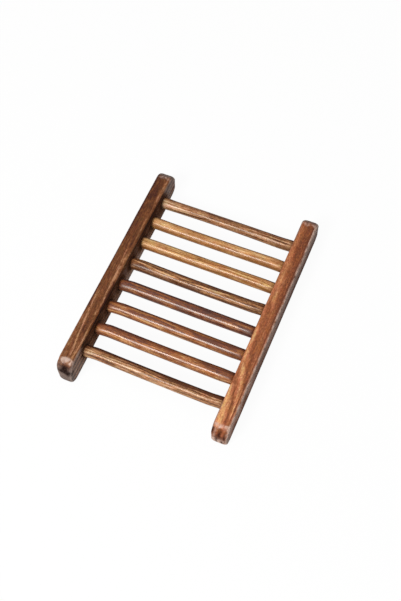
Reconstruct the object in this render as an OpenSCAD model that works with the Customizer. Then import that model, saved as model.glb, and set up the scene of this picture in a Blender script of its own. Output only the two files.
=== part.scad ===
// Wooden soap dish: an open rack of two side rails joined by eight round dowels.
// Each dowel is glued at both ends into a blind bore in the inner face of a rail.
// Sizes are in millimetres. The rails run along Y, the dowels along X, and the
// rail feet stand on Z = 0, with the origin under the middle of the dish.

/* [Dish] */
// Length of the dish, which is the length of each rail
dish_length = 120; // [90:1:180]
// Width of the dish, over the outer faces of both rails
dish_width = 85; // [60:1:140]

/* [Rails] */
// Thickness of each rail, across the dish
rail_thick = 8; // [7:0.5:14]
// Height of each rail, from its foot to its top face
rail_height = 14; // [13:0.5:24]
// Radius sanded on all long edges of a rail, and carried round its ends
rail_edge_radius = 1; // [0.4:0.1:1.6]
// Radius of the two upper corners of a rail, seen from the side
end_top_radius = 5; // [3:0.5:8]
// Radius of the two lower corners of a rail, seen from the side
end_foot_radius = 2; // [1.4:0.1:3]

/* [Dowels] */
// Diameter of each dowel
dowel_diameter = 5.8; // [4:0.1:8]
// Height of the dowel axes above the rail feet
dowel_axis_height = 8.4; // [6:0.1:10]
// Distance along a rail from its end to the axis of the nearest dowel
end_to_dowel = 15.7; // [10:0.1:24]
// Chamfer on both ends of each dowel, hidden in the bores
dowel_chamfer = 0.5; // [0.2:0.1:1]

/* [Glued joints] */
// Depth of the blind bores in the inner faces of the rails
bore_depth = 5; // [3:0.5:6.5]
// Room for glue between a dowel and its bore, on the radius
glue_gap = 0.05; // [0.02:0.01:0.2]
// Room for glue between a dowel's end and the bottom of its bore
bore_end_gap = 0.2; // [0.1:0.1:1]

/* [Hidden] */
$fn = 96;
// Dowels in the dish, numbered from the +Y end
dowel_count = 8;
// Length by which a cut runs past the face that it opens
cut_overrun = 1;

// Distance from the middle of the dish to the middle of each rail
rail_centre_x = (dish_width - rail_thick) / 2;
// Clear width between the inner faces of the rails
inner_width = dish_width - 2 * rail_thick;
// Distance from one dowel's axis to the next
dowel_pitch = (dish_length - 2 * end_to_dowel) / (dowel_count - 1);
// Full length of a dowel, with the ends that sit in the bores
dowel_length = inner_width + 2 * (bore_depth - bore_end_gap);
bore_diameter = dowel_diameter + 2 * glue_gap;
// Place along the rails where the end rounding starts, and where that of the foot starts
top_round_y = dish_length / 2 - end_top_radius;
foot_round_y = dish_length / 2 - end_foot_radius;
// Height of the flat part of a rail's end, between its upper and lower corners
end_flat_height = rail_height - end_top_radius - end_foot_radius;

// Oiled, scorched wood of each piece, from red brown to golden brown
rail_left_color = [0.42, 0.25, 0.17];
rail_right_color = [0.60, 0.33, 0.18];
dowel_colors = [
    [0.58, 0.40, 0.26], [0.68, 0.46, 0.26], [0.68, 0.45, 0.26], [0.52, 0.33, 0.22],
    [0.46, 0.27, 0.19], [0.52, 0.33, 0.21], [0.58, 0.36, 0.22], [0.46, 0.29, 0.19]
];

// Y of the axis of a dowel
function dowel_y(index) = dish_length / 2 - end_to_dowel - (index - 1) * dowel_pitch;

// Strip as wide as a rail and depth deep, from Y = 0, with its two far corners rounded
module edge_strip(depth) {
    translate([-rail_thick / 2, 0])
        square([rail_thick, depth - rail_edge_radius]);
    translate([rail_edge_radius - rail_thick / 2, 0])
        square([rail_thick - 2 * rail_edge_radius, depth]);
    for (side = [-1, 1])
        translate([side * (rail_thick / 2 - rail_edge_radius), depth - rail_edge_radius])
            circle(rail_edge_radius);
}

// Quarter turn of the strip about X, from the end face up to the top face
module rounded_corner(radius) {
    rotate([90, 0, 90])
        rotate_extrude(angle = 90)
            rotate(-90)
                edge_strip(radius);
}

// One end of a rail, on the +Y side: upper corner, flat end, foot and lower corner
module rail_end() {
    translate([0, top_round_y, rail_height - end_top_radius])
        rounded_corner(end_top_radius);
    translate([0, top_round_y, end_foot_radius])
        linear_extrude(end_flat_height)
            edge_strip(end_top_radius);
    translate([0, top_round_y, end_foot_radius])
        rotate([-90, 0, 0])
            linear_extrude(foot_round_y - top_round_y)
                edge_strip(end_foot_radius);
    translate([0, foot_round_y, end_foot_radius])
        mirror([0, 0, 1])
            rounded_corner(end_foot_radius);
}

// Rail before boring, centred on X and Y: the long bar with an end on each side
module rail_blank() {
    rotate([90, 0, 0])
        linear_extrude(2 * top_round_y, center = true)
            translate([0, rail_height / 2])
                for (turn = [0, 180])
                    rotate(turn)
                        edge_strip(rail_height / 2);
    for (turn = [0, 180])
        rotate(turn)
            rail_end();
}

// Blind bore for one dowel, opening at the rail's +X face
module dowel_bore(index) {
    translate([rail_thick / 2 - bore_depth, dowel_y(index), dowel_axis_height])
        rotate([0, 90, 0])
            cylinder(h = bore_depth + cut_overrun, d = bore_diameter);
}

// Rail at the -X side of the dish, with its bores facing the middle
module bored_rail() {
    translate([-rail_centre_x, 0, 0])
        difference() {
            rail_blank();
            for (index = [1 : dowel_count])
                dowel_bore(index);
        }
}

// Side rail at -X, of red brown wood
module rail_left() {
    color(rail_left_color)
        bored_rail();
}

// Side rail at +X, of orange brown wood: the same piece turned round
module rail_right() {
    color(rail_right_color)
        rotate(180)
            bored_rail();
}

// Round dowel with chamfered ends, running from bore to bore
module dowel(index) {
    chamfered = dowel_diameter - 2 * dowel_chamfer;
    color(dowel_colors[index - 1])
        translate([-dowel_length / 2, dowel_y(index), dowel_axis_height])
            rotate([0, 90, 0]) {
                cylinder(h = dowel_chamfer, d1 = chamfered, d2 = dowel_diameter);
                translate([0, 0, dowel_chamfer])
                    cylinder(h = dowel_length - 2 * dowel_chamfer, d = dowel_diameter);
                translate([0, 0, dowel_length - dowel_chamfer])
                    cylinder(h = dowel_chamfer, d1 = dowel_diameter, d2 = chamfered);
            }
}

rail_left();
rail_right();
dowel(1);  // dowel_1
dowel(2);  // dowel_2
dowel(3);  // dowel_3
dowel(4);  // dowel_4
dowel(5);  // dowel_5
dowel(6);  // dowel_6
dowel(7);  // dowel_7
dowel(8);  // dowel_8
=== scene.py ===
"""Soap dish: a rack of two hardwood rails joined by eight round dowels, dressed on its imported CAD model."""
import math

import bpy
import numpy as np
from mathutils import Matrix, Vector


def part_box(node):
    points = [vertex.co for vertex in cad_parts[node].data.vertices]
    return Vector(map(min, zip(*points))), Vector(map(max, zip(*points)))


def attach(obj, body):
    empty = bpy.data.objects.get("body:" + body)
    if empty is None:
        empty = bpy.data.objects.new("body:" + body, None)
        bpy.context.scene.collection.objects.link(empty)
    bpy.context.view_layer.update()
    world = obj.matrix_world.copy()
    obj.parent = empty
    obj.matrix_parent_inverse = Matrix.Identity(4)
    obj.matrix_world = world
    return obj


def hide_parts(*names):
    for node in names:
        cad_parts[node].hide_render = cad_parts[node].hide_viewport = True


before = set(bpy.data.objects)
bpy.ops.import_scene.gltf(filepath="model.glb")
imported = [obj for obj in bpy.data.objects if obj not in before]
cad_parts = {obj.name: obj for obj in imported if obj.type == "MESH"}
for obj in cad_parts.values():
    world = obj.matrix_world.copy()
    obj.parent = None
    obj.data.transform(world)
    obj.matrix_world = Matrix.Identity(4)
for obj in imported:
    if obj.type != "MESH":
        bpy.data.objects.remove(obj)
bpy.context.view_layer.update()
scene = bpy.context.scene
scene.view_settings.view_transform = "Standard"


# Side rails
# Two bars of oiled hardwood, 8 by 14 mm, with eight blind bores in the inner face of each.
# Their ends are rounded on a sanding belt, and all edges are rubbed down by hand, which leaves them paler.
METRES_PER_MM = 0.001

# Sizes in millimetres: edges, which grow softer towards an end, the stretch of Y over which the foot of
# the far end draws in, and bores with their small lip
ARRIS_RADIUS = 1.0
FOOT_ARRIS = 0.6
END_SOFTNESS = 1.1
END_SOFT_REACH = 2.5
WIDEST_ARRIS_SHARE = 0.42
TUCK_START = 48.5
TUCK_FULL = 54
BORE_RADIUS = 2.95
BORE_DEPTH = 5.0
BORE_LIP = 0.25
BORE_LIP_TURNS = (30, 60, 90)

# Grid of a rail: lines across it, and cells round it. The grid round a bore is eased out over some cells.
LINES_PER_PITCH = 32
EVEN_LINES = 128
END_LINES = 40
CAP_RINGS = 8
SIDE_CELLS = 31
TOP_CELLS = 28
ARC_CELLS = 8
BORE_HALF_CELLS = 7.5
EASED_TO = 1.45

# Hand sanding: the most that it takes off in its slow waves, along the fibres and on the edges, and the
# shortest waves along X, Y and Z
SANDED = 0.06
SANDED_FIBRES = 0.03
SANDED_EDGES = 0.06
SANDING_WAVES = (9, 14, 9)
FIBRE_WAVES = (0.5, 16, 0.5)

# It spares the bores, out to a distance from the axis and back to a place across, and the flat foot. Each
# has a soft limit.
BORE_SPARED = 3.2
BORE_CLEAR = 3.9
BEHIND_BORE = -3.5
BESIDE_BORE = -2.0
FOOT_SPARED = 0.05
FOOT_CLEAR = 0.8


def box_in_mm(node):
    """Lowest and highest corner of a CAD node, in millimetres."""
    low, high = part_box(node)
    return np.array(low) / METRES_PER_MM, np.array(high) / METRES_PER_MM


def smooth_step(low, high, values):
    """Zero up to low, one from high on, and 3t^2 - 2t^3 between them. With low above high it falls."""
    t = np.clip((values - low) / (high - low), 0, 1)
    return t * t * (3 - 2 * t)


def bell(values, middle, width):
    """One at the middle, and falling off on both sides as exp(-t^2), with t in widths."""
    return np.exp(-((values - middle) / width) ** 2)


def arc_drop(distance, radius):
    """What a circle's arc takes off at a distance from the end: radius at the end, nothing past the arc."""
    inside = np.clip(1 - distance / radius, 0, 1)
    return radius * (1 - np.sqrt(1 - inside**2))


def ripple(points, lengths, count, rng):
    """Smooth noise of about -1 to 1: a sum of so many sine waves in random directions.

    lengths holds the shortest wave along X, Y and Z, in the unit of the points. The longest is about three
    times as long.
    """
    directions = rng.normal(size=(count, 3))
    directions /= np.linalg.norm(directions, axis=1, keepdims=True)
    sizes = rng.uniform(0.35, 1, size=(count, 1))
    waves = 2 * math.pi * directions * sizes / np.asarray(lengths)
    phases = rng.uniform(0, 2 * math.pi, size=count)
    return np.cos(points @ waves.T + phases).sum(axis=1) / math.sqrt(2 * count)


def ring_stations():
    """Stations round a rounded rectangle, starting up its inner face.

    Each has a place on the core rectangle, as a share of its width and height, and a unit vector from
    there out to the surface, which turns by a quarter at each corner.
    """
    side = np.arange(SIDE_CELLS) / SIDE_CELLS
    top = np.arange(TOP_CELLS) / TOP_CELLS
    arc = 0.5 * math.pi * np.arange(ARC_CELLS) / ARC_CELLS
    zero, one = np.zeros, np.ones
    across = [one(SIDE_CELLS), one(ARC_CELLS), 1 - top, zero(ARC_CELLS),
              zero(SIDE_CELLS), zero(ARC_CELLS), top, one(ARC_CELLS)]
    up = [side, one(ARC_CELLS), one(TOP_CELLS), one(ARC_CELLS),
          1 - side, zero(ARC_CELLS), zero(TOP_CELLS), zero(ARC_CELLS)]
    out_x = [one(SIDE_CELLS), np.cos(arc), zero(TOP_CELLS), -np.sin(arc),
             -one(SIDE_CELLS), -np.cos(arc), zero(TOP_CELLS), np.sin(arc)]
    out_z = [zero(SIDE_CELLS), np.sin(arc), one(TOP_CELLS), np.cos(arc),
             zero(SIDE_CELLS), -np.sin(arc), -one(TOP_CELLS), -np.cos(arc)]
    return [np.concatenate(parts) for parts in (across, up, out_x, out_z)]


def grid_quads(rows, columns):
    """Quads between the rows of a grid whose columns run round in a ring: an array of rows, columns, 4."""
    first = np.arange(rows * columns).reshape(rows, columns)
    after = np.roll(first, -1, axis=1)
    return np.stack([first[:-1], first[1:], after[1:], after[:-1]], axis=-1)


def fan(ring, pole):
    """Triangles from a ring of vertex numbers to one vertex."""
    return np.stack([ring, np.roll(ring, -1), np.full(len(ring), pole)], axis=-1)


def put_mesh(name, points, quads, triangles, turned):
    """Mesh object of the used points, with the order of each face reversed if turned is true."""
    used, numbers = np.unique(np.concatenate([quads.ravel(), triangles.ravel()]), return_inverse=True)
    quads = numbers[:quads.size].reshape(-1, 4)
    triangles = numbers[quads.size:].reshape(-1, 3)
    if turned:
        quads = quads[:, ::-1]
        triangles = triangles[:, ::-1]
    mesh = bpy.data.meshes.new(name)
    mesh.from_pydata((points[used] * METRES_PER_MM).tolist(), [], quads.tolist() + triangles.tolist())
    mesh.shade_smooth()
    piece = bpy.data.objects.new(name, mesh)
    scene.collection.objects.link(piece)
    return piece


def points_and_normals(piece):
    """The piece's vertices in millimetres, and their unit normals, as two arrays."""
    mesh = piece.data
    points = np.empty(3 * len(mesh.vertices))
    normals = np.empty(3 * len(mesh.vertices))
    mesh.vertices.foreach_get("co", points)
    mesh.vertex_normals.foreach_get("vector", normals)
    return points.reshape(-1, 3) / METRES_PER_MM, normals.reshape(-1, 3)


def sand_down(piece, depths):
    """Moves each vertex inwards along its normal by its depth in millimetres."""
    points, normals = points_and_normals(piece)
    moved = (points - normals * depths[:, None]) * METRES_PER_MM
    piece.data.vertices.foreach_set("co", moved.ravel())
    piece.data.update()


def streak(along, across, start, stop, width):
    """A streak of wood: a bell across the line between two places, fading over 2 mm at both its ends.

    start and stop each hold a place along and a place across.
    """
    line = start[1] + (stop[1] - start[1]) * (along - start[0]) / (stop[0] - start[0])
    begun = smooth_step(start[0] - 1, start[0] + 1, along)
    ended = smooth_step(stop[0] - 1, stop[0] + 1, along)
    return bell(across, line, width) * begun * (1 - ended)


def mark(piece, name, values):
    """Stores one number per vertex for the wood's colours, kept within -1 and 1."""
    layer = piece.data.attributes.new(name, "FLOAT", "POINT")
    layer.data.foreach_set("value", np.clip(values, -1, 1).astype(np.float32))


def rail_piece(name, node, inner_side, outer_arris, near, far, rng):
    """Side rail as a grid of rings along Y, each a rounded rectangle across the rail.

    Towards an end the top drops, the foot rises and both sides draw in by circular arcs, the edges grow
    rounder as a bell, and copies of the last ring shrink to the middle of the end. Round each bore the grid
    of the inner face is eased from a square to a circle, and rings go from there over a small lip down to
    the bottom of the bore. Sanding then takes off slow waves, faint fibres and a little of each edge.

    near and far give an end's Y and its radii at the top, foot, inner and outer side. At the far end the
    foot of the inner face leans in by the tuck. outer_arris is the radius of the upper outer edge. Returns
    the piece, and two arrays with a value for each vertex: one well clear of the bores and zero in them,
    and the distance from the nearest bore's axis.
    """
    low, high = box_in_mm(node)
    half_width = (high[0] - low[0]) / 2
    height = high[2] - low[2]
    axes = [sum(box_in_mm(f"dowel_{number}")) / 2 for number in range(1, 9)]
    bore_ys = [axis[1] for axis in axes]
    bore_z = axes[0][2]
    step = abs(bore_ys[1] - bore_ys[0]) / LINES_PER_PITCH

    even = step * (np.arange(-EVEN_LINES, EVEN_LINES) + 0.5)
    turn = 1 - np.sin(0.5 * math.pi * np.arange(1, END_LINES + 1) / END_LINES)
    near_lines = near["y"] + (even[0] - near["y"]) * turn[::-1]
    far_lines = far["y"] - (far["y"] - even[-1]) * turn
    y = np.concatenate([near_lines, even, far_lines])

    from_near = y - near["y"]
    from_far = far["y"] - y
    drops = {side: arc_drop(from_near, near[side]) + arc_drop(from_far, far[side])
             for side in ("top", "foot", "inner", "outer")}
    top = height - drops["top"]
    foot = drops["foot"]
    inner = half_width - drops["inner"]
    outer = drops["outer"] - half_width
    end_distance = np.minimum(from_near, from_far)
    softer = END_SOFTNESS * bell(end_distance, 0, END_SOFT_REACH)
    widest = WIDEST_ARRIS_SHARE * np.minimum(top - foot, inner - outer)
    inner_top = np.minimum(ARRIS_RADIUS + softer, widest)[:, None]
    outer_top = np.minimum(outer_arris + softer, widest)[:, None]
    lower = np.minimum(FOOT_ARRIS + softer, widest)[:, None]

    across, up, out_x, out_z = ring_stations()
    inner_radius = lower + (inner_top - lower) * up
    outer_radius = lower + (outer_top - lower) * up
    top_radius = outer_top + (inner_top - outer_top) * across
    radius = lower + (top_radius - lower) * up
    core_width = (inner - outer)[:, None] - inner_radius - outer_radius
    core_height = (top - foot)[:, None] - lower - top_radius
    core_x = outer[:, None] + outer_radius + core_width * across
    core_z = foot[:, None] + lower + core_height * up
    x = core_x + radius * out_x
    z = core_z + radius * out_z
    lean = far["tuck"] * smooth_step(TUCK_START, TUCK_FULL, y)
    x -= lean[:, None] * across * (1 - z / height)
    rows, columns = x.shape
    y_grid = np.repeat(y[:, None], columns, axis=1)
    quads = grid_quads(rows, columns)
    kept = np.ones(quads.shape[:2], bool)

    rim = BORE_RADIUS + BORE_LIP
    half_y = BORE_HALF_CELLS * step
    cell_z = (height - ARRIS_RADIUS - FOOT_ARRIS) / SIDE_CELLS
    half_z = BORE_HALF_CELLS * cell_z
    face = slice(0, SIDE_CELLS + 1)
    start = round((bore_z - half_z - FOOT_ARRIS) / cell_z)
    cells = int(2 * BORE_HALF_CELLS)
    grid = np.arange(rows * columns).reshape(rows, columns)
    loops = []
    for bore_y in bore_ys:
        along = y_grid[:, face] - bore_y
        above = z[:, face] - bore_z
        square = np.maximum(np.abs(along) / half_y, np.abs(above) / half_z)
        distance = np.hypot(along, above) + 1e-9
        share = np.clip((square - 1) / (EASED_TO - 1), 0, 1)
        factor = np.where(square > 0.999, (1 - share) * rim * square / distance + share, 1)
        y_grid[:, face] = bore_y + along * factor
        z[:, face] = bore_z + above * factor
        row = np.searchsorted(y, bore_y) - int(BORE_HALF_CELLS + 0.5)
        kept[row:row + cells, start:start + cells] = False
        block = grid[row:row + cells + 1, start:start + cells + 1]
        loops.append(np.concatenate([block[:-1, 0], block[-1, :-1], block[:0:-1, -1], block[0, :0:-1]]))

    points = [np.stack([x, y_grid, z], axis=-1).reshape(-1, 3)]
    quads = [quads[kept]]
    triangles = []
    count = rows * columns

    for row, facing in ((0, -1), (rows - 1, 1)):
        ring = points[0][grid[row]]
        middle = ring.mean(axis=0)
        shares = 1 - np.arange(1, CAP_RINGS) / CAP_RINGS
        cap = middle + (ring - middle) * shares[:, None, None]
        points.append(cap.reshape(-1, 3))
        points.append(middle[None])
        numbers = np.concatenate([grid[row], count + np.arange((CAP_RINGS - 1) * columns)])
        cap_quads = numbers[grid_quads(CAP_RINGS, columns)].reshape(-1, 4)
        cap_fan = fan(numbers[-columns:], count + (CAP_RINGS - 1) * columns)
        if facing > 0:
            quads.append(cap_quads)
            triangles.append(cap_fan[:, ::-1])
        else:
            quads.append(cap_quads[:, ::-1])
            triangles.append(cap_fan)
        count += (CAP_RINGS - 1) * columns + 1

    lip_turns = np.radians(BORE_LIP_TURNS)
    radii = np.append(BORE_RADIUS + BORE_LIP * (1 - np.sin(lip_turns)), BORE_RADIUS)
    depths = np.append(BORE_LIP * (1 - np.cos(lip_turns)), BORE_DEPTH)
    for loop, bore_y in zip(loops, bore_ys):
        centre = np.array([half_width, bore_y, bore_z])
        away = points[0][loop] - centre
        away[:, 0] = 0
        away /= np.linalg.norm(away, axis=1, keepdims=True)
        wall = centre + away * radii[:, None, None]
        wall[:, :, 0] -= depths[:, None]
        bottom = centre - [BORE_DEPTH, 0, 0]
        points.append(wall.reshape(-1, 3))
        points.append(bottom[None])
        size = len(loop)
        numbers = np.concatenate([loop, count + np.arange(len(radii) * size)])
        quads.append(numbers[grid_quads(len(radii) + 1, size)].reshape(-1, 4)[:, ::-1])
        triangles.append(fan(numbers[-size:], count + len(radii) * size))
        count += len(radii) * size + 1

    points = np.concatenate(points)
    middle_x = (low[0] + high[0]) / 2
    points[:, 0] = middle_x + inner_side * points[:, 0]
    piece = put_mesh(name, points, np.concatenate(quads), np.concatenate(triangles), inner_side < 0)

    points, normals = points_and_normals(piece)
    x, y, z = points.T
    from_axis = np.min([np.hypot(y - bore_y, z - bore_z) for bore_y in bore_ys], axis=0)
    bore_side = smooth_step(BEHIND_BORE, BESIDE_BORE, inner_side * (x - middle_x))
    off_bore = 1 - smooth_step(BORE_CLEAR, BORE_SPARED, from_axis) * bore_side
    free = off_bore * smooth_step(FOOT_SPARED, FOOT_CLEAR, z)
    hand = 0.5 + 0.5 * ripple(points, SANDING_WAVES, count=20, rng=rng)
    grain = 0.5 + 0.5 * ripple(points, FIBRE_WAVES, count=60, rng=rng)
    edge = 4 * (normals[:, 0] * normals[:, 2]) ** 2
    sand_down(piece, free * (SANDED * hand + SANDED_FIBRES * grain + SANDED_EDGES * edge * hand).clip(0))
    return piece, off_bore, from_axis


def srgb(red, green, blue):
    """Linear colour of an 8-bit screen colour: a straight line near black, and a power of 2.4 above it."""
    shares = np.array([red, green, blue]) / 255
    linear = np.where(shares <= 0.04045, shares / 12.92, ((shares + 0.055) / 1.055) ** 2.4)
    return (*linear.tolist(), 1.0)


def wood_finish(name, along, pith, colours, seed, ring_width, contrast, speckle, mottle, roughness,
                specular, relief_depth):
    """Oiled hardwood on Object coordinates in millimetres, with its grain along X or Y.

    Growth rings are noise over the distance from the pith, a line along the grain, with a slow wander added.
    Fibres, flecks and pores are noise drawn out along the grain, and the mottle is a slow drift. A weighted
    sum of all these but the pores, moved by the vertex mark called tone, picks a colour between dark and
    pale. A noise of its own turns its hue a little, and pores darken it. Three marks lay more over it: grey
    gives bare wood, in places a painted reflection; the wear mark gives rubbed edges and painted highlights;
    the soot mark gives scorching and painted shade. Pores, bare wood, and scorched and painted-shade parts
    are duller than the rest, and fibres and pores give the relief.
    """
    material = bpy.data.materials.new(name)
    material.use_nodes = True
    tree = material.node_tree
    shader = tree.nodes["Principled BSDF"]

    def node(kind, inputs, **settings):
        """Outputs of a new node, with each of its inputs linked to a socket or set to a value."""
        made = tree.nodes.new(kind)
        for key, value in settings.items():
            setattr(made, key, value)
        for socket, value in inputs.items():
            if isinstance(value, bpy.types.NodeSocket):
                tree.links.new(value, made.inputs[socket])
            else:
                made.inputs[socket].default_value = value
        return made.outputs

    def math_node(operation, first, second, third=0.0, clamp=False):
        inputs = {0: first, 1: second, 2: third}
        return node("ShaderNodeMath", inputs, operation=operation, use_clamp=clamp)[0]

    def vector_node(operation, first, second):
        return node("ShaderNodeVectorMath", {0: first, 1: second}, operation=operation)[0]

    def scaled(vector, factor):
        return node("ShaderNodeVectorMath", {0: vector, "Scale": factor}, operation="SCALE")[0]

    def noise(vector, scales, detail, shift):
        """Noise with so many waves per millimetre across, along and across the grain."""
        stretched = vector_node("MULTIPLY", vector, scales)
        moved = vector_node("ADD", stretched, (shift, 0.37 * shift, 1.7 * shift))
        inputs = {"Vector": moved, "Scale": 1.0, "Detail": detail, "Roughness": 0.55}
        return node("ShaderNodeTexNoise", inputs)

    def spread(value, low, high):
        """Zero at low, one at high, straight between them and level beyond."""
        return node("ShaderNodeMapRange", {"Value": value, "From Min": low, "From Max": high})[0]

    def blend(factor, first, second):
        return node("ShaderNodeMix", {0: factor, 6: first, 7: second}, data_type="RGBA")[2]

    def marked(mark_name):
        """The number that a vertex mark holds."""
        return node("ShaderNodeAttribute", {}, attribute_name=mark_name)["Fac"]

    in_mm = scaled(node("ShaderNodeTexCoord", {})["Object"], 1 / METRES_PER_MM)
    parts = node("ShaderNodeSeparateXYZ", {0: in_mm})
    order = (parts[1], parts[0], parts[2]) if along == "X" else (parts[0], parts[1], parts[2])
    wood = node("ShaderNodeCombineXYZ", {0: order[0], 1: order[1], 2: order[2]})[0]

    wander = vector_node("SUBTRACT", noise(wood, (0.09, 0.022, 0.09), 2.0, seed)["Color"], (0.5, 0.5, 0.5))
    bent = vector_node("ADD", wood, vector_node("MULTIPLY", wander, (7.0, 0.0, 7.0)))
    from_pith = vector_node("SUBTRACT", bent, (pith[0], 0.0, pith[1]))
    across = vector_node("MULTIPLY", from_pith, (1.0, 0.0, 1.0))
    distance = node("ShaderNodeVectorMath", {0: across}, operation="LENGTH")["Value"]
    trunk = node("ShaderNodeCombineXYZ", {0: distance, 1: order[1], 2: 0.0})[0]
    rings = noise(trunk, (1 / ring_width, 0.006, 1.0), 2.0, seed + 3)["Fac"]
    fine_rings = noise(trunk, (2.6 / ring_width, 0.012, 1.0), 1.0, seed + 9)["Fac"]
    fibres = noise(wood, (1.5, 0.09, 1.5), 4.0, seed + 5)["Fac"]
    drift = noise(wood, (0.26, 0.07, 0.26), 3.0, seed + 7)["Fac"]
    pore_field = noise(wood, (2.2, 0.14, 2.2), 2.0, seed + 11)["Fac"]
    pores = spread(math_node("MULTIPLY_ADD", rings, -0.25, pore_field), 0.47, 0.58)
    flecks = noise(wood, (1.7, 0.75, 1.7), 3.0, seed + 17)["Fac"]

    tone = 0.5
    weights = ((rings, 2.2 * contrast), (fine_rings, 0.8 * contrast), (fibres, 2.0 * contrast),
               (flecks, speckle), (drift, 1.2 * mottle))
    for field, weight in weights:
        tone = math_node("MULTIPLY_ADD", math_node("SUBTRACT", field, 0.5), weight, tone)
    tone = math_node("MULTIPLY_ADD", marked("tone"), 0.5, tone, clamp=True)

    ramp = tree.nodes.new("ShaderNodeValToRGB")
    tree.links.new(tone, ramp.inputs[0])
    stops = ramp.color_ramp.elements
    stops[0].position = 0.08
    stops[0].color = srgb(*colours["dark"])
    stops[1].position = 0.92
    stops[1].color = srgb(*colours["pale"])
    for position, key in ((0.36, "brown"), (0.62, "body")):
        stop = stops.new(position)
        stop.color = srgb(*colours[key])
    hue = vector_node("SUBTRACT", noise(wood, (0.7, 0.22, 0.7), 3.0, seed + 19)["Color"], (0.5, 0.5, 0.5))
    hue = vector_node("ADD", vector_node("MULTIPLY", hue, (0.55, 0.30, 0.80)), (1.0, 1.0, 1.0))
    colour = vector_node("MULTIPLY", ramp.outputs[0], hue)
    colour = blend(math_node("MULTIPLY", pores, 0.55), colour, srgb(*colours["pore"]))
    # Grey: bare wood, and in places a painted reflection
    bare_and_sheen = scaled(srgb(*colours["grey"])[:3], math_node("MULTIPLY_ADD", tone, 0.8, 0.62))
    colour = blend(marked("grey"), colour, bare_and_sheen)
    patchy = spread(noise(wood, (0.9, 0.35, 0.9), 3.0, seed + 13)["Fac"], 0.32, 0.60)
    # Rubbed wear with painted highlights
    wear_and_highlight_share = math_node("MULTIPLY", marked("wear_and_highlight"), patchy, clamp=True)
    colour = blend(wear_and_highlight_share, colour, srgb(*colours["wear_and_highlight"]))
    # Scorching with painted shade
    soot_and_shade_share = math_node("MULTIPLY", marked("soot_and_shade"), spread(fibres, -0.20, 0.50), clamp=True)
    colour = blend(soot_and_shade_share, colour, srgb(*colours["soot_and_shade"]))
    tree.links.new(colour, shader.inputs["Base Color"])

    dullness = roughness - 0.05
    for field, weight in ((drift, 0.10), (pores, 0.10), (marked("grey"), 0.45), (marked("soot_and_shade"), 1.6)):
        dullness = math_node("MULTIPLY_ADD", field, weight, dullness, clamp=True)
    tree.links.new(dullness, shader.inputs["Roughness"])
    relief = math_node("MULTIPLY_ADD", pores, -0.9, math_node("MULTIPLY", fibres, 2.0))
    bump_inputs = {"Height": relief, "Strength": 0.5, "Distance": relief_depth * METRES_PER_MM}
    tree.links.new(node("ShaderNodeBump", bump_inputs)["Normal"], shader.inputs["Normal"])
    shader.inputs["Specular IOR Level"].default_value = specular
    shader.inputs["Specular Tint"].default_value = (1.0, 0.92, 0.86, 1.0)
    return material
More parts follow.
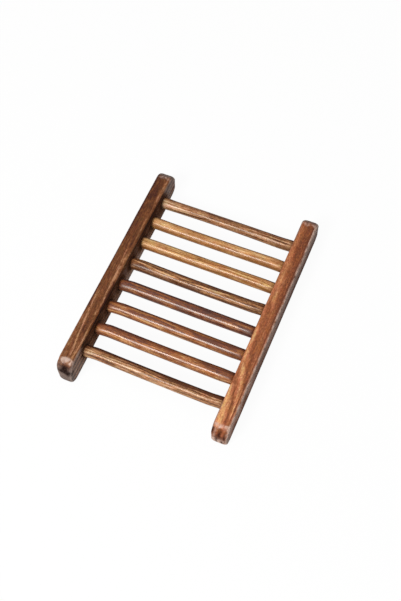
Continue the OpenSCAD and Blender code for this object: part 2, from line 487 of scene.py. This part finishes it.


# Each rail's own shape and wood, in millimetres and screen colours. A pale band across the top, rubbed wood
# with a painted highlight, has a start, a stop and a strength. It starts on a ragged line, which has a swing,
# a shift and a wave length, and stops on a line that "rounded" bends. A streak has a start and a stop, each a
# place along and a place across, then a width and a strength. A burn on the near end has its place across
# and its height, two widths and a strength, and a dark patch on the outer face the same, with its place
# along the rail.
RAILS = {
    "rail_left": {
        "inner_side": 1,
        "outer_arris": 0.55,
        "near": {"y": -59.4, "top": 7.5, "foot": 3.4, "inner": 1.0, "outer": 3.2},
        "far": {"y": 59.4, "top": 5.0, "foot": 3.0, "inner": 0.8, "outer": 1.6, "tuck": 0.5},
        "bands": ((-55.1, -52.7, 0.80), (54.3, 55.7, 0.7)),
        "ragged": (0.45, 1.1, 3.6),
        "rounded": 0.10,
        "burnt_from": (-55.6, -56.8),
        "burns": ((0.4, 11.6, 1.5, 1.4, 1.3), (-0.3, 10.2, 3.4, 0.9, 1.0), (2.4, 9.3, 1.5, 1.4, 0.8)),
        "dark_patches": (),
        "pith": (-52, -38),
        "seed": 4.0,
        "contrast": 0.42,
        "speckle": 1.0,
        "streaks": (
            ((-51, -38.0), (-30, -40.3), 0.35, 0.9), ((-30, -40.3), (-14, -41.3), 0.35, 0.6),
            ((-56, -36.2), (-33, -36.2), 0.35, 0.6), ((-33, -36.2), (-27, -36.7), 0.40, 0.6),
            ((-27, -36.7), (-22, -36.1), 0.35, 0.7), ((-22, -36.1), (-17, -36.6), 0.30, 1.0),
            ((-17, -36.6), (-11, -36.6), 0.30, 1.0), ((-11, -36.6), (0, -37.6), 0.40, 1.0),
            ((0, -37.6), (14, -38.4), 0.40, 0.5), ((0, -36.4), (53, -36.8), 0.40, 0.2),
            ((-26, -35.6), (-8, -35.9), 0.35, -0.8), ((-12, -41.6), (12, -41.8), 0.35, 0.4),
            ((-57, -39.4), (-44, -39.6), 0.40, -0.4), ((-28, -36.4), (0, -36.8), 0.55, 0.80),
            ((-30, -42.0), (58, -42.0), 0.45, -0.8), ((40, -40.6), (56, -40.2), 1.40, -0.7),
            ((-26, -41.2), (-2, -41.3), 0.50, -0.35), ((3, -36.6), (53, -36.6), 0.50, 0.2)),
        "colours": {
            "dark": (60, 25, 14), "brown": (90, 49, 22), "body": (112, 68, 39), "pale": (160, 114, 83),
            "pore": (40, 15, 10), "wear_and_highlight": (184, 160, 147), "soot_and_shade": (26, 12, 9), "grey": (111, 98, 92)},
    },
    "rail_right": {
        "inner_side": -1,
        "outer_arris": 1.1,
        "near": {"y": -60.0, "top": 6.0, "foot": 2.2, "inner": 1.4, "outer": 1.3},
        "far": {"y": 60.0, "top": 4.6, "foot": 2.2, "inner": 2.2, "outer": 0.8, "tuck": 0.0},
        "bands": ((-56.9, -55.5, 0.68), (55.2, 56.5, 0.5)),
        "ragged": (0.60, -1.1, 4.8),
        "rounded": 0.0,
        "burnt_from": (-56.9, -57.7),
        "burns": (
            (-0.1, 10.0, 0.9, 2.6, 1.1), (-2.5, 8.6, 0.6, 2.4, 1.1), (1.2, 5.6, 0.6, 3.8, 1.0),
            (3.4, 11.4, 0.9, 2.4, 1.0), (-1.4, 3.4, 0.6, 1.5, 1.2)),
        "dark_patches": (
            (-51, 4, 2.2, 4, 0.35), (-38.5, 6, 3, 6, 0.40), (-19, 8, 8, 6, 0.30), (28, 5, 20, 2.5, 0.15)),
        "pith": (78, -14),
        "seed": 21.0,
        "contrast": 0.20,
        "speckle": 0.85,
        "streaks": (
            ((-56, 36.6), (-36, 35.4), 1.45, 0.75), ((-55.5, 39.6), (-45, 38.7), 0.60, -0.6),
            ((-45, 38.7), (-37, 36.8), 0.45, -0.6), ((-55, 41.0), (-44, 40.2), 0.40, 0.6),
            ((-44, 40.2), (-34, 38.6), 0.70, 0.5), ((-34, 38.6), (-26, 36.6), 0.95, 0.6),
            ((-36, 40.6), (-29, 39.5), 0.50, -0.5), ((-29, 39.3), (-20, 38.6), 0.90, -0.5),
            ((-20, 38.4), (-6, 37.4), 1.20, -0.4), ((-26, 36.0), (-5, 35.6), 0.70, 0.5),
            ((-6, 37.6), (8, 36.8), 1.30, -0.4), ((-56, 41.15), (57, 41.15), 0.28, -0.9),
            ((8, 36.9), (32, 36.9), 0.90, 0.15), ((30, 35.9), (54, 36.1), 0.80, 0.3),
            ((42, 37.6), (55, 37.4), 0.70, 0.3)),
        "colours": {
            "dark": (94, 48, 28), "brown": (134, 76, 44), "body": (168, 105, 69), "pale": (207, 159, 106),
            "pore": (88, 42, 20), "wear_and_highlight": (192, 164, 149), "soot_and_shade": (46, 19, 12), "grey": (124, 103, 95)},
    },
}

RAIL_FINISH = {"ring_width": 1.3, "mottle": 0.35, "roughness": 0.36, "specular": 0.12, "relief_depth": 0.04}
ROOT_SOOT_START = 2.9
ROOT_SOOT_FADE = 0.9

for node_name, rail in RAILS.items():
    draws = np.random.default_rng(int(rail["seed"]))
    piece, off_bore, from_axis = rail_piece(
        node_name + "_wood", node_name, rail["inner_side"], rail["outer_arris"], rail["near"], rail["far"],
        draws)
    points, normals = points_and_normals(piece)
    x, y, z = points.T
    low, high = box_in_mm(node_name)
    local_x = (x - (low[0] + high[0]) / 2) * rail["inner_side"]

    # Parts of the rail: each value is one on its part and zero elsewhere
    out = normals[:, 0] * rail["inner_side"]
    up = normals[:, 2]
    squares = normals**2
    arris = 4 * squares[:, 0] * (squares[:, 1] + squares[:, 2]) * smooth_step(-0.5, 0.3, up)
    top_face = smooth_step(0.3, 0.6, up)
    outer_face = smooth_step(0.55, 0.95, -out)
    burnt_end = smooth_step(*rail["burnt_from"], y)
    far_end = smooth_step(0.15, 0.45, normals[:, 1]) * smooth_step(50, 54, y)
    far_end *= 0.4 + 0.6 * smooth_step(6, 10, z)
    # Painted shade on the inner face round each dowel's root
    root_shade = np.exp(-np.clip(from_axis - ROOT_SOOT_START, 0, None) / ROOT_SOOT_FADE)
    root_shade *= smooth_step(0.3, 0.9, out)

    # Pale bands, rubbed wood with a painted highlight, streaks, and the darkening that both rails have:
    # painted shade round the dowel roots and under the rail, burns on the near end, and dark patches
    swing, shift, wave_length = rail["ragged"]
    ragged_y = y + swing * np.cos(2 * math.pi * (local_x + shift) / wave_length)
    rounded_y = y + rail["rounded"] * local_x**2
    # Pale bands across the top near the ends: rubbed wood with a painted highlight
    bands = sum(strength * smooth_step(start - 0.5, start + 0.4, ragged_y)
                * smooth_step(stop + 0.5, stop - 0.4, rounded_y)
                for start, stop, strength in rail["bands"])
    bands *= smooth_step(0.1, 0.5, up) * smooth_step(0.7, 0.4, out)
    streaks = sum(strength * streak(y, x, start, stop, width)
                  for start, stop, width, strength in rail["streaks"]) * top_face
    # Painted shade round the dowel roots and on the underside, then burns on the near end
    soot_and_shade = 0.9 * root_shade + 0.5 * smooth_step(0.5, 0.9, -up)
    for place, level, width, reach, strength in rail["burns"]:
        soot_and_shade += strength * burnt_end * bell(local_x, place, width) * bell(z, level, reach)
    # Dark patches on the outer face
    for place, level, width, reach, strength in rail["dark_patches"]:
        soot_and_shade += strength * outer_face * bell(y, place, width) * bell(z, level, reach)

    if node_name == "rail_left":
        # Its inner face is darkened between the ends, where the dowels stand before it, less so low down:
        # scorching with painted shade. At the ends it is bare and striped.
        ends = smooth_step(44, 49, np.abs(y))
        inner_face = smooth_step(0.05, 0.55, out) * off_bore
        low_down = smooth_step(8, 2, z)
        pale_foot = low_down * bell(y, 12, 16)
        stripes = np.cos(2 * math.pi * (z - 3.3 + 0.25 * np.sin(y / 9)) / 3.75)
        wear_and_highlight = 0.6 * arris * np.where(out > 0, ends, 0.5 * smooth_step(-20, -45, y)) + bands
        # Scorching with painted shade on the inner face, where the dowels stand before it
        charring_and_shade = 0.32 * (1 - 0.45 * bell(y, 2, 18)) * (1 - 0.25 * low_down - 0.5 * pale_foot)
        soot_and_shade += inner_face * (1 - 0.95 * ends) * charring_and_shade
        soot_and_shade += 0.12 * inner_face * ends * smooth_step(9, 6, z) * (y > 0)
        soot_and_shade += 0.7 * top_face * bell(local_x, 3.5, 0.6) * (1 - 0.5 * ends)
        tone = 0.10 - 0.12 * smooth_step(-45, 35, y) - 0.4 * smooth_step(-54.8, -56.0, y) + streaks
        tone += inner_face * (0.4 * low_down + 0.8 * pale_foot + (0.25 + 0.65 * ends) * stripes)
        tone += inner_face * ends * np.where(y > 0, -0.35 * low_down, 0.25)
        grey = inner_face * ends * np.where(y > 0, 0.05 + 0.2 * smooth_step(5, 10, z), 0.40)
        grey += 0.8 * smooth_step(-55.4, -58.6, y) + 0.8 * far_end
    else:
        # Its outer face is greyed, bare wood with a painted reflection that grows towards its top, and rubbed
        # along its top. It is darker low down, a painted shade, and its wood is darker beyond a slant
        wear_and_highlight = arris * np.where(out > 0, 0.05, 0.95 + 0.3 * smooth_step(20, 55, y)) + bands
        wear_and_highlight += burnt_end * (0.9 * smooth_step(7.5, 4.5, z) + 0.4 * bell(local_x, 2.4, 0.8))
        towards_ends = 1 + 0.8 * smooth_step(25, 40, -y) + 1.3 * smooth_step(25, 40, y)
        # Paler top of the outer face: painted reflection
        wear_and_highlight += 0.38 * outer_face * smooth_step(8, 13, z) * towards_ends
        # Darker foot of the outer face: painted shade
        soot_and_shade += 0.24 * outer_face * smooth_step(7, 1, z)
        slant = 0.4 + 0.056 * (y - 15)
        tone = -0.12 - 0.30 * burnt_end - 0.12 * smooth_step(25, 57, y) + streaks
        tone += smooth_step(-18, 8, y) * (0.10 - 0.55 * smooth_step(slant + 0.8, slant - 1.8, local_x))
        # Grey of the outer face: bare wood with a painted reflection, more of it towards the top
        side_grey_and_sheen = 0.64 + 0.21 * smooth_step(7, 12, z)
        grey = outer_face * side_grey_and_sheen * (1 - 0.25 * smooth_step(-25, -35, y))
        grey += 0.5 * burnt_end * smooth_step(10, 6, z) + 0.75 * far_end
        inner_ends = smooth_step(0.25, 0.7, out) * smooth_step(42, 50, np.abs(y))
        grey += 0.7 * inner_ends * smooth_step(10.5, 12.5, z)
    for mark_name, values in (("wear_and_highlight", off_bore * wear_and_highlight), ("soot_and_shade", soot_and_shade), ("tone", tone), ("grey", grey)):
        mark(piece, mark_name, values)
    piece.data.materials.append(wood_finish(
        node_name + "_finish", "Y", rail["pith"], rail["colours"], rail["seed"],
        contrast=rail["contrast"], speckle=rail["speckle"], **RAIL_FINISH))
    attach(piece, "root")
    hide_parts(node_name)


# Dowels
# Eight round rods of the same hardwood, drawn through a die and waxed, so they have a sharper gloss.
# Each is glued into its bore in both rails, and no two are of quite the same brown.
DOWEL_SIDES = 72
DOWEL_STEP = 0.5
DOWEL_CHAMFER = 0.5
FLUTE_DEPTH = 0.004
FLUTE_WAVES = (24, 0.45, 0.45)
WEAR_DEPTH = 0.04
WEAR_WAVES = (22, 1.6, 1.6)
BOW_REACH = 24
STRAIGHT_FROM = 34
BOWED_WITHIN = 27


def dowel_piece(name, node, bow, swell, rng):
    """Dowel as a grid of rings along X.

    The radius is that of the CAD dowel less a little lengthwise fluting and slow wear, and it runs down a
    chamfer at both ends, where the last ring closes on a pole. Between the rails the axis is off by the bow
    towards +Y, and the radius is larger by the swell. Each holds three values in millimetres, and follows
    the parabola through them at 24 mm to the left, in the middle and 24 mm to the right.
    """
    low, high = box_in_mm(node)
    radius = (high[2] - low[2]) / 2
    centre = (low + high) / 2
    rings = int(round((high[0] - low[0] - 2 * DOWEL_CHAMFER) / DOWEL_STEP))
    x = np.linspace(low[0] + DOWEL_CHAMFER, high[0] - DOWEL_CHAMFER, rings + 1)
    x = np.concatenate([[low[0]], x, [high[0]]])
    inset = np.zeros(len(x))
    inset[[0, -1]] = DOWEL_CHAMFER
    angle = 2 * math.pi * np.arange(DOWEL_SIDES) / DOWEL_SIDES
    x_grid, angle_grid = np.meshgrid(x, angle, indexing="ij")
    unit = np.stack([x_grid, np.cos(angle_grid), np.sin(angle_grid)], axis=-1).reshape(-1, 3)
    flutes = 0.5 + 0.5 * ripple(unit, FLUTE_WAVES, count=40, rng=rng)
    wear = 0.5 + 0.5 * ripple(unit, WEAR_WAVES, count=16, rng=rng)
    taken = (FLUTE_DEPTH * flutes + WEAR_DEPTH * wear).clip(0).reshape(x_grid.shape)
    between = smooth_step(STRAIGHT_FROM, BOWED_WITHIN, np.abs(x))
    t = x / BOW_REACH
    offset, growth = (
        between * (middle + (right - left) / 2 * t + (left + right - 2 * middle) / 2 * t**2)
        for left, middle, right in (bow, swell))
    reach = radius + (growth - inset)[:, None] - taken
    y_grid = centre[1] + offset[:, None] + reach * np.cos(angle_grid)
    points = np.stack([x_grid, y_grid, centre[2] + reach * np.sin(angle_grid)], axis=-1)
    rows, columns = x_grid.shape
    poles = np.array([[low[0], centre[1], centre[2]], [high[0], centre[1], centre[2]]])
    count = rows * columns
    first = np.arange(columns)
    last = first + count - columns
    triangles = np.concatenate([fan(first, count), fan(last, count + 1)[:, ::-1]])
    points = np.concatenate([points.reshape(-1, 3), poles])
    return put_mesh(name, points, grid_quads(rows, columns).reshape(-1, 4), triangles, True)


DOWEL_WOODS = {
    "golden": ((131, 81, 33), (161, 112, 64), (184, 138, 88), (211, 171, 121)),
    "tan": ((76, 38, 12), (127, 83, 45), (157, 110, 69), (190, 151, 112)),
    "rosy": ((76, 38, 14), (125, 82, 48), (156, 111, 75), (190, 154, 121)),
    "red": ((62, 20, 6), (100, 47, 12), (127, 73, 28), (157, 110, 68)),
    "orange": ((82, 34, 8), (119, 62, 19), (142, 85, 38), (182, 134, 88)),
}
DOWEL_EXTRAS = {"pore": (74, 32, 14), "wear_and_highlight": (198, 162, 136), "soot_and_shade": (43, 16, 9), "grey": (114, 92, 81)}
DOWEL_FINISH = {"ring_width": 1.3, "contrast": 0.85, "speckle": 1.0, "mottle": 0.6, "roughness": 0.24,
                "relief_depth": 0.006}

# Each dowel, from the far one to the near one. Its upper, middle and lower zones have a tone at the left and
# at the right end. A streak has its start and stop along X, its place and width round the dowel, in degrees
# from the top towards the near side, and a strength.
DOWELS = (
    {"wood": "rosy", "bow": (0.02, 0.13, -0.12), "swell": (-0.18, -0.22, -0.06), "gloss": 0.16,
     "upper": (0.10, -0.35), "middle": (-0.05, 0.05), "lower": (-0.05, 0.15),
     "streaks": (
         (-34, -9, 34, 10, 0.3), (-32, -13, 72, 9, -1.0), (19, 34, 8, 4, 0.7), (11, 34, 21, 5, -0.5),
         (8, 17, 58, 12, -0.4), (14, 33, 33, 9, 0.5))},
    {"wood": "golden", "bow": (-0.12, -0.13, 0.08), "swell": (-0.02, -0.06, 0.02), "gloss": 0.25,
     "upper": (-0.25, -0.65), "middle": (-0.25, -0.60), "lower": (-0.70, -0.70),
     "streaks": (
         (26, 32, 23, 4, -1.0), (24, 28, 56, 6, -0.9), (28, 32, 72, 5, -0.9), (20, 31, 5, 10, 0.3),
         (-32, -28, 68, 9, -0.7), (-12, 12, -28, 9, 0.4))},
    {"wood": "golden", "bow": (0.05, 0.03, 0.05), "swell": (0.03, -0.03, 0.02), "gloss": 0.21,
     "upper": (-0.05, -0.15), "middle": (-0.05, -0.40), "lower": (-0.75, -0.55),
     "streaks": (
         (-20, -4, 4, 4, 0.4), (2, 10, -6, 5, -0.4), (-10, 10, 70, 8, 0.4))},
    {"wood": "tan", "bow": (0.12, -0.21, -0.30), "swell": (0.06, -0.04, -0.05), "gloss": 0.20,
     "upper": (-0.60, -0.80), "middle": (-0.35, 0.10), "lower": (-0.85, -0.55),
     "streaks": (
         (-22, -9, 15, 4, 0.6), (-12, 4, 25, 4, -0.6), (0, 7, 15, 4, 0.6), (18, 28, 14, 4, 0.7),
         (23, 31, 26, 4, -0.7), (19, 32, 62, 9, -0.5), (27, 35, 4, 3, 0.5), (-11, 12, -10, 12, -0.3))},
    {"wood": "red", "bow": (0.23, 0.06, 0.00), "swell": (0.12, 0.12, 0.09), "gloss": 0.34,
     "upper": (-0.95, -0.60), "middle": (-0.05, 0.05), "lower": (-0.60, 0.20),
     "streaks": (
         (-31, -19, 5, 4, -0.5), (-16, 0, 15, 3, 0.4), (14, 26, 42, 10, 0.4), (25, 34, -10, 3, 0.6),
         (26, 34, 5, 3, 0.5), (-30, -25, 60, 8, 0.4), (-12, 12, -12, 14, -0.6), (-9, 9, 57, 9, -0.4))},
    {"wood": "orange", "bow": (0.38, 0.18, -0.04), "swell": (0.08, 0.08, 0.11), "gloss": 0.33,
     "upper": (-0.45, -0.30), "middle": (-0.65, -0.25), "lower": (0.05, 0.05),
     "streaks": (
         (-31, -19, -10, 7, 0.4), (-34, -4, 52, 9, 0.6), (-33, -8, 82, 10, -1.0), (-18, 0, 3, 3, -0.5),
         (4, 22, 8, 3, -0.4), (20, 25, 60, 8, -0.4), (10, 33, 34, 9, 0.4), (6, 34, 78, 8, -0.5))},
    {"wood": "orange", "bow": (0.38, 0.07, -0.02), "swell": (0.13, 0.07, 0.17), "gloss": 0.31,
     "upper": (-0.20, -0.55), "middle": (0.05, -0.15), "lower": (0.05, 0.30),
     "streaks": (
         (-21, -15, 45, 16, 0.4), (20, 34, -16, 5, -0.8), (17, 26, 15, 3, 0.6), (-14, 4, 4, 5, -0.8),
         (10, 33, 34, 9, 0.4), (-12, 8, 55, 9, 0.2))},
    {"wood": "rosy", "bow": (0.29, -0.14, -0.32), "swell": (-0.02, -0.02, -0.02), "gloss": 0.16,
     "upper": (-0.95, -0.95), "middle": (0.05, -0.15), "lower": (-0.60, -0.15),
     "streaks": (
         (-33, -19, 55, 7, -0.7), (-30, -11, 24, 3, -0.6), (-21, -9, 38, 12, 0.3), (0, 11, 20, 8, 0.4),
         (-7, 11, 35, 9, -0.6), (-6, 11, 58, 10, 0.8), (14, 26, 62, 8, -0.5), (30, 35, 66, 8, 0.5),
         (-33, -8, 76, 8, 0.4))},
)
RAIL_FACE_X = 34.5
PITH_DISTANCE = 14
PITH_TURN = 2.4

for number, dowel in enumerate(DOWELS, start=1):
    node_name = f"dowel_{number}"
    draws = np.random.default_rng(100 + number)
    piece = dowel_piece(node_name + "_wood", node_name, dowel["bow"], dowel["swell"], draws)
    points, normals = points_and_normals(piece)
    x, y, z = points.T
    angle = np.degrees(np.arctan2(-normals[:, 1], normals[:, 2]))

    share = smooth_step(-26, 20, x)
    upper = 1 - smooth_step(-22, 10, angle)
    lower = smooth_step(38, 60, angle)
    tone = np.zeros(len(x))
    for zone, amount in (("upper", upper), ("middle", 1 - upper - lower), ("lower", lower)):
        left_end, right_end = dowel[zone]
        tone += amount * (left_end * (1 - share) + right_end * share)
    for start, stop, place, width, strength in dowel["streaks"]:
        tone += strength * streak(x, angle, (start, place), (stop, place), width)

    # Darker at both roots where the dowel enters the rails, and along the far side and the lower edge:
    # painted shade. Paler on the near shoulder beside the gloss line: a painted highlight
    # Painted shade at both roots
    soot_and_shade = 0.75 * np.exp(-(RAIL_FACE_X - np.abs(x)).clip(0) / 1.1)
    # Painted shade along the far side and the lower edge
    soot_and_shade += 0.52 * smooth_step(0.30, 0.75, normals[:, 1]) + 0.12 * smooth_step(62, 78, angle)
    # Painted highlight on the near shoulder
    wear_and_highlight = 0.2 * bell(angle, 54, 11)
    for mark_name, values in (("wear_and_highlight", wear_and_highlight), ("soot_and_shade", soot_and_shade), ("tone", tone), ("grey", np.zeros(len(x)))):
        mark(piece, mark_name, values)

    centre = sum(box_in_mm(node_name)) / 2
    around = PITH_TURN * number
    pith = (centre[1] + PITH_DISTANCE * math.cos(around), centre[2] + PITH_DISTANCE * math.sin(around))
    colours = dict(zip(("dark", "brown", "body", "pale"), DOWEL_WOODS[dowel["wood"]]), **DOWEL_EXTRAS)
    piece.data.materials.append(wood_finish(
        node_name + "_finish", "X", pith, colours, 31.0 + 6 * number, specular=dowel["gloss"],
        **DOWEL_FINISH))
    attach(piece, "root")
    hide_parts(node_name)


# Floor
# A plain pale table top, 4 m each way. To the camera, and in reflections, it is mostly white, and it
# keeps a soft shadow.
FLOOR_HALF = 2.0
FLOOR_WHITE = 0.95
FLOOR_COLOUR = (0.70, 0.70, 0.69, 1)


def seen_directly(tree):
    """Shader value: one for rays from the camera, in reflections or through glass, and zero for others."""
    rays = tree.nodes.new("ShaderNodeLightPath")
    total = rays.outputs["Is Camera Ray"]
    for kind in ("Is Glossy Ray", "Is Transmission Ray"):
        added = tree.nodes.new("ShaderNodeMath")
        added.operation = "ADD"
        added.use_clamp = True
        tree.links.new(total, added.inputs[0])
        tree.links.new(rays.outputs[kind], added.inputs[1])
        total = added.outputs[0]
    return total


floor_mesh = bpy.data.meshes.new("floor")
corners = [(-FLOOR_HALF, -FLOOR_HALF, 0), (FLOOR_HALF, -FLOOR_HALF, 0),
           (FLOOR_HALF, FLOOR_HALF, 0), (-FLOOR_HALF, FLOOR_HALF, 0)]
floor_mesh.from_pydata(corners, [], [(0, 1, 2, 3)])
floor = bpy.data.objects.new("floor", floor_mesh)
scene.collection.objects.link(floor)
floor_paint = bpy.data.materials.new("floor_paint")
floor_paint.use_nodes = True
tree = floor_paint.node_tree
tree.nodes.remove(tree.nodes["Principled BSDF"])
paint = tree.nodes.new("ShaderNodeBsdfDiffuse")
paint.inputs["Color"].default_value = FLOOR_COLOUR
white = tree.nodes.new("ShaderNodeEmission")
white.inputs["Strength"].default_value = 1.0
whiteness = tree.nodes.new("ShaderNodeMath")
whiteness.operation = "MULTIPLY"
whiteness.inputs[1].default_value = FLOOR_WHITE
mixed = tree.nodes.new("ShaderNodeMixShader")
tree.links.new(seen_directly(tree), whiteness.inputs[0])
tree.links.new(whiteness.outputs[0], mixed.inputs[0])
tree.links.new(paint.outputs[0], mixed.inputs[1])
tree.links.new(white.outputs[0], mixed.inputs[2])
tree.links.new(mixed.outputs[0], tree.nodes["Material Output"].inputs["Surface"])
floor_mesh.materials.append(floor_paint)


# Studio light
# A wide soft box overhead, a smaller and stronger one from the near left that draws the gloss line on each
# dowel, and a dim even surround. The surround is white to the camera and in reflections.
SURROUND_STRENGTH = 0.26
SEEN_STRENGTH = 1.0

surround = bpy.data.worlds.new("surround")
scene.world = surround
surround.use_nodes = True
tree = surround.node_tree
strength = tree.nodes.new("ShaderNodeMapRange")
strength.inputs["To Min"].default_value = SURROUND_STRENGTH
strength.inputs["To Max"].default_value = SEEN_STRENGTH
tree.links.new(seen_directly(tree), strength.inputs["Value"])
tree.links.new(strength.outputs[0], tree.nodes["Background"].inputs["Strength"])
tree.nodes["Background"].inputs["Color"].default_value = (1, 1, 1, 1)


def stand(thing, right, top, back, place):
    """Turns a lamp or camera so that its right, top and back point these ways, and puts it at a place."""
    matrix = Matrix.Identity(4)
    for axis, vector in enumerate((right, top, back, place)):
        for row in range(3):
            matrix[row][axis] = vector[row]
    thing.matrix_world = matrix


def soft_box(name, toward, distance, width, height, radiance):
    """Area light at a distance from the dish, in the direction given, facing it.

    Its power is four times its area times the radiance of its face.
    """
    light = bpy.data.lights.new(name, "AREA")
    light.shape = "RECTANGLE"
    light.size = width
    light.size_y = height
    light.energy = 4 * width * height * radiance
    lamp = bpy.data.objects.new(name, light)
    scene.collection.objects.link(lamp)
    back = np.array(toward) / np.linalg.norm(toward)
    side = np.cross([0, 0, 1] if abs(back[2]) < 0.95 else [0, 1, 0], back)
    side /= np.linalg.norm(side)
    stand(lamp, side, np.cross(back, side), back, back * distance)


soft_box("top_light", toward=(-0.15, 0.05, 1.0), distance=0.9, width=1.0, height=1.0, radiance=0.95)
soft_box("near_light", toward=(-0.21, -0.67, 0.72), distance=1.0, width=0.26, height=0.33, radiance=29.3)


# Camera, with its lengths in millimetres
# It stands where the photograph was taken from: above and in front of the dish, to its right, with the
# picture turned a little. Its place and lens come from fitting the dish's outline at its stated size.
AZIMUTH = math.radians(25.8)
ELEVATION = math.radians(61.66)
ROLL = math.radians(-3.13)
DISTANCE = 432.1
LOOK_AT = np.array([4.66, -0.44, 9.0])
FOCAL_PIXELS = 913.3
PICTURE_HEIGHT = 601
SENSOR = 36.0

back = np.array([math.sin(AZIMUTH) * math.cos(ELEVATION),
                 -math.cos(AZIMUTH) * math.cos(ELEVATION),
                 math.sin(ELEVATION)])
level = np.cross(-back, [0, 0, 1])
level /= np.linalg.norm(level)
upward = np.cross(level, -back)
right = level * math.cos(ROLL) + upward * math.sin(ROLL)
top = -level * math.sin(ROLL) + upward * math.cos(ROLL)
eye = (LOOK_AT + back * DISTANCE) * METRES_PER_MM
lens = bpy.data.cameras.new("camera")
lens.sensor_width = SENSOR
lens.lens = FOCAL_PIXELS / PICTURE_HEIGHT * SENSOR
lens.clip_start = 0.01
lens.clip_end = 10.0
camera = bpy.data.objects.new("camera", lens)
scene.collection.objects.link(camera)
stand(camera, right, top, back, eye)
scene.camera = camera

bpy.context.view_layer.update()
